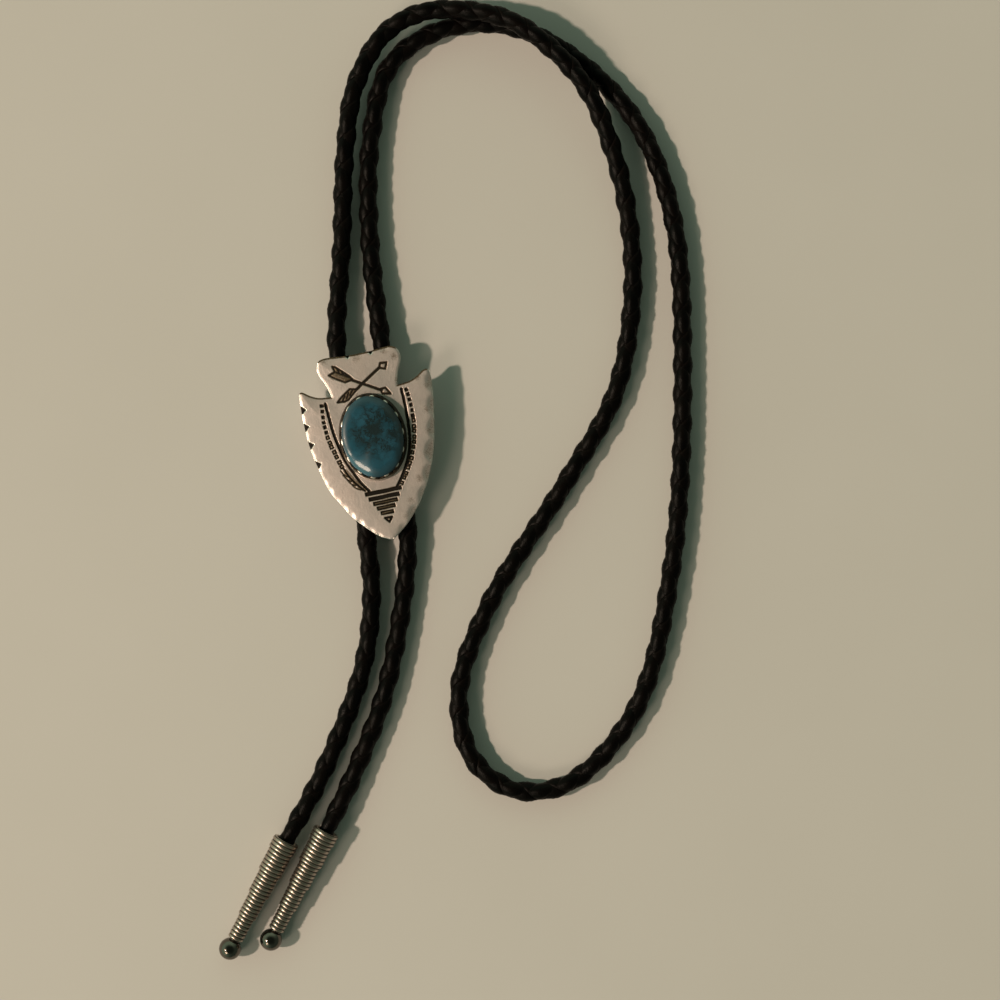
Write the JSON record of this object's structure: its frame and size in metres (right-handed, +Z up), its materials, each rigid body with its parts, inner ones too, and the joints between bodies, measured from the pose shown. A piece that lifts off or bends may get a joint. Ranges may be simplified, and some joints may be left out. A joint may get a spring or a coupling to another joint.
{
  "type": "bolo tie",
  "caption": "Bolo tie: braided leather cord with ribbed ball tips, through a cast arrowhead slide with stamped grooves and an oval turquoise stone.",
  "frame": {"origin": "on the table, under the middle of the arrowhead slide", "axes": "+Y along the slide from its point to its base, +Z up out of the slide's face, +X to the right seen from above"},
  "size_m": [0.1482, 0.2264, 0.0117],
  "materials": {
    "silver_plate": "satin silver plate with darkened recesses and bright worn edges",
    "turquoise": "polished blue-green stone with smoky dark matrix",
    "clip_steel": "plain nickel-plated sheet",
    "braided_leather": "black-brown round four-strand braid, faint gloss",
    "tip_chrome": "bright silver plate, polished"
  },
  "bodies": {
    "root": {"arrowhead_slide": "silver_plate", "turquoise_stone": "turquoise", "cord_clip": "clip_steel", "braided_cord": "braided_leather", "tip_left": "tip_chrome", "tip_right": "tip_chrome"}
  },
  "joints": []
}
